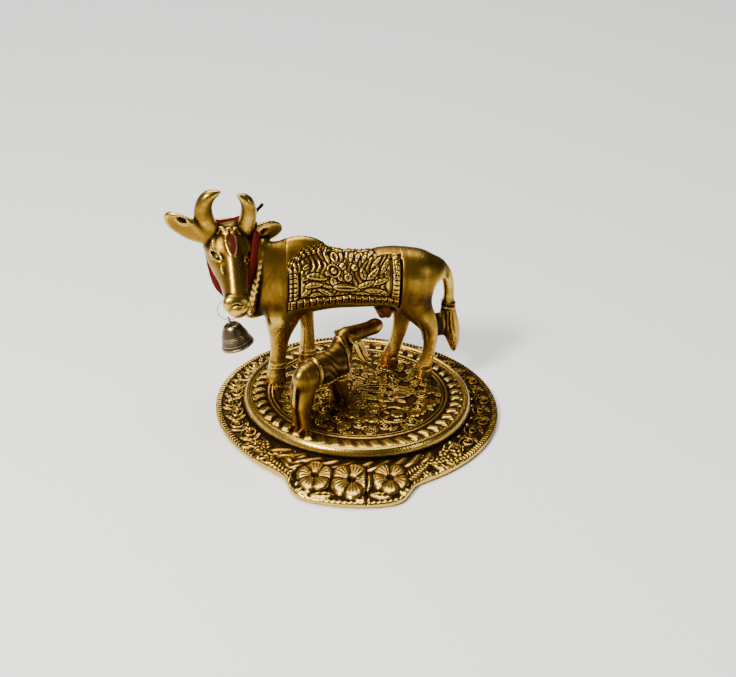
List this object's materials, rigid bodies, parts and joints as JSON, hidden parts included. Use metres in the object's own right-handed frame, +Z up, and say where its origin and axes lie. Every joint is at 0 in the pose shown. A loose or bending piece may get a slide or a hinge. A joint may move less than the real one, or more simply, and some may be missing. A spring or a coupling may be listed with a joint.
{
  "type": "kamdhenu cow statue",
  "caption": "Gilded kamdhenu statue: a cow with saddlecloth and garland feeding her calf on a round flowered plate, with a small bell hung from a red thread.",
  "frame": {"origin": "middle of the bounding box, on the surface that the plate stands on", "axes": "+Z up; +X from the cow's head end towards her tail; -Y towards the flowered lobe, which is the side that the cow's face looks to"},
  "size_m": [0.1478, 0.1434, 0.1001],
  "materials": {
    "gilt": "antique gold, brown-black in the recesses and bright on the high parts",
    "aged_brass": "dull, grey-brown",
    "red_thread": "matt cotton bundle",
    "pale_thread": "matt stiffened thread"
  },
  "bodies": {
    "root": {"base": "gilt", "cow": "gilt", "calf": "gilt", "head_thread": "red_thread", "bell_ring": "pale_thread", "bell": "aged_brass"}
  },
  "joints": []
}
